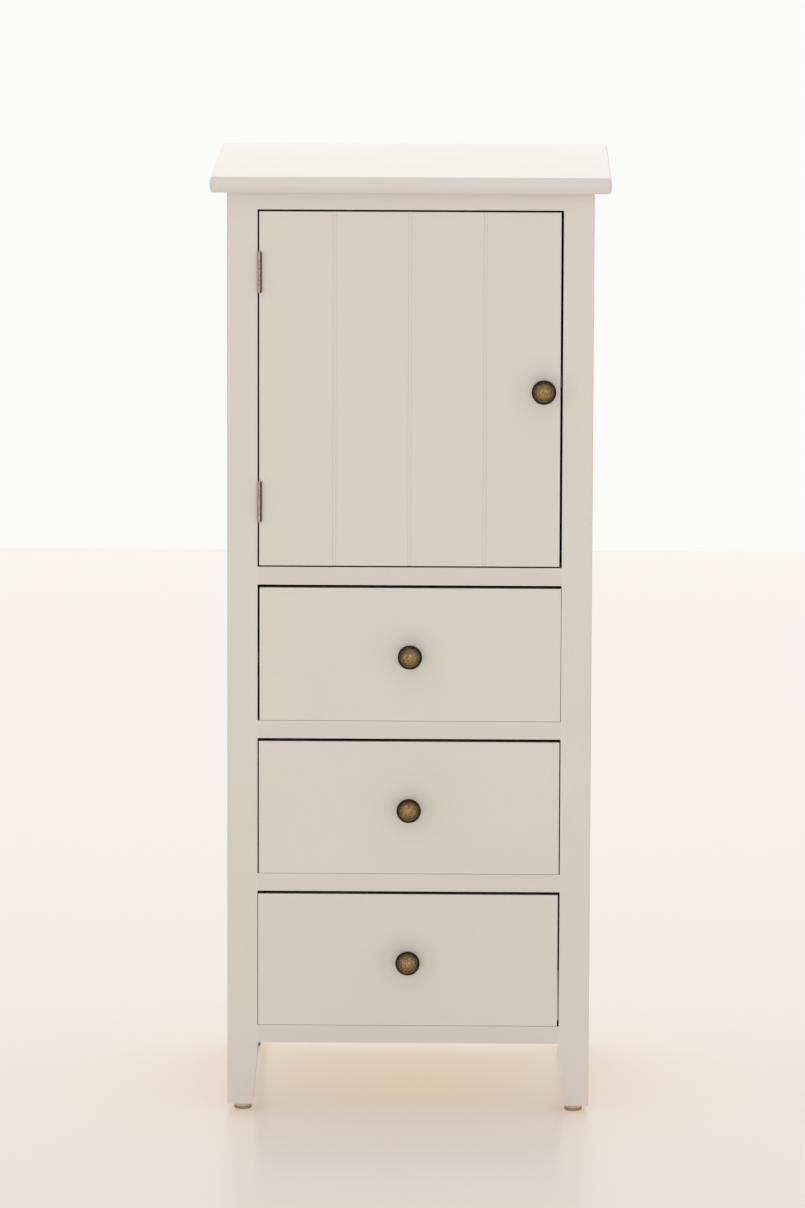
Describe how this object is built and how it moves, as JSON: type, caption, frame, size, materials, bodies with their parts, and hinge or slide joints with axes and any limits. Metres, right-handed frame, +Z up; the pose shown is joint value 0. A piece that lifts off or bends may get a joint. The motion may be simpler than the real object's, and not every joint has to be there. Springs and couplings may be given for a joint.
{
  "type": "commode",
  "caption": "Slender floor-standing painted cabinet on legs: a planked hinged door over a stack of drawers, with round brass knobs and an overhanging top.",
  "frame": {"origin": "on the floor, in the middle of the box that the closed cabinet fills", "axes": "+Z up, the front faces -Y, +X is to the right of someone who looks at the front"},
  "size_m": [0.4, 0.344, 0.9525],
  "materials": {
    "painted_wood": "satin warm-white paint",
    "bare_wood": "pale unfinished wood",
    "panel_board": "thin unfinished board",
    "antique_brass": "aged, darker rim",
    "hinge_metal": "bronze-coloured plating",
    "screw_steel": "zinc plated",
    "catch_steel": "nickel plated",
    "catch_plastic": "matte",
    "glide_plastic": "matte brown"
  },
  "bodies": {
    "carcass": {"back_panel": "painted_wood", "back_panel_nails": "screw_steel", "board_cleats": "painted_wood", "carcass_screws": "screw_steel", "carcass_small_screws": "screw_steel", "cupboard_floor": "painted_wood", "cupboard_shelf": "painted_wood", "drawer_runners": "bare_wood", "foot_glides": "glide_plastic", "front_leg_left": "painted_wood", "front_leg_right": "painted_wood", "front_rail_bottom": "painted_wood", "front_rail_top": "painted_wood", "front_rail_under_door": "painted_wood", "front_rail_under_drawer_1": "painted_wood", "front_rail_under_drawer_2": "painted_wood", "hinge_frame_leaves": "hinge_metal", "hinge_pins": "hinge_metal", "magnetic_catch": "catch_plastic", "rail_dowels": "bare_wood", "rear_leg_left": "painted_wood", "rear_leg_right": "painted_wood", "rear_rail_bottom": "painted_wood", "rear_rail_top": "painted_wood", "side_panel_left": "painted_wood", "side_panel_right": "painted_wood", "top_board": "painted_wood"},
    "door": {"door_batten_lower": "painted_wood", "door_batten_screws": "screw_steel", "door_batten_upper": "painted_wood", "door_knob": "antique_brass", "door_knob_screw": "screw_steel", "door_plank_1": "painted_wood", "door_plank_2": "painted_wood", "door_plank_3": "painted_wood", "door_plank_4": "painted_wood", "door_small_screws": "screw_steel", "hinge_door_leaves": "hinge_metal", "catch_plate": "catch_steel"},
    "drawer_1": {"drawer_1_back": "bare_wood", "drawer_1_bottom": "panel_board", "drawer_1_front": "painted_wood", "drawer_1_knob": "antique_brass", "drawer_1_knob_screw": "screw_steel", "drawer_1_side_left": "bare_wood", "drawer_1_side_right": "bare_wood"},
    "drawer_2": {"drawer_2_back": "bare_wood", "drawer_2_bottom": "panel_board", "drawer_2_front": "painted_wood", "drawer_2_knob": "antique_brass", "drawer_2_knob_screw": "screw_steel", "drawer_2_side_left": "bare_wood", "drawer_2_side_right": "bare_wood"},
    "drawer_3": {"drawer_3_back": "bare_wood", "drawer_3_bottom": "panel_board", "drawer_3_front": "painted_wood", "drawer_3_knob": "antique_brass", "drawer_3_knob_screw": "screw_steel", "drawer_3_side_left": "bare_wood", "drawer_3_side_right": "bare_wood"}
  },
  "joints": [
    {"name": "door_hinge", "type": "hinge", "parent": "carcass", "child": "door", "pos_m": [-0.15035, -0.15055, 0.74025], "axis": [0, 0, -1], "range_deg": [0, 170]},
    {"name": "drawer_1_slide", "type": "slide", "parent": "carcass", "child": "drawer_1", "axis": [0, -1, 0], "range_m": [0, 0.22]},
    {"name": "drawer_2_slide", "type": "slide", "parent": "carcass", "child": "drawer_2", "axis": [0, -1, 0], "range_m": [0, 0.22]},
    {"name": "drawer_3_slide", "type": "slide", "parent": "carcass", "child": "drawer_3", "axis": [0, -1, 0], "range_m": [0, 0.22]}
  ]
}
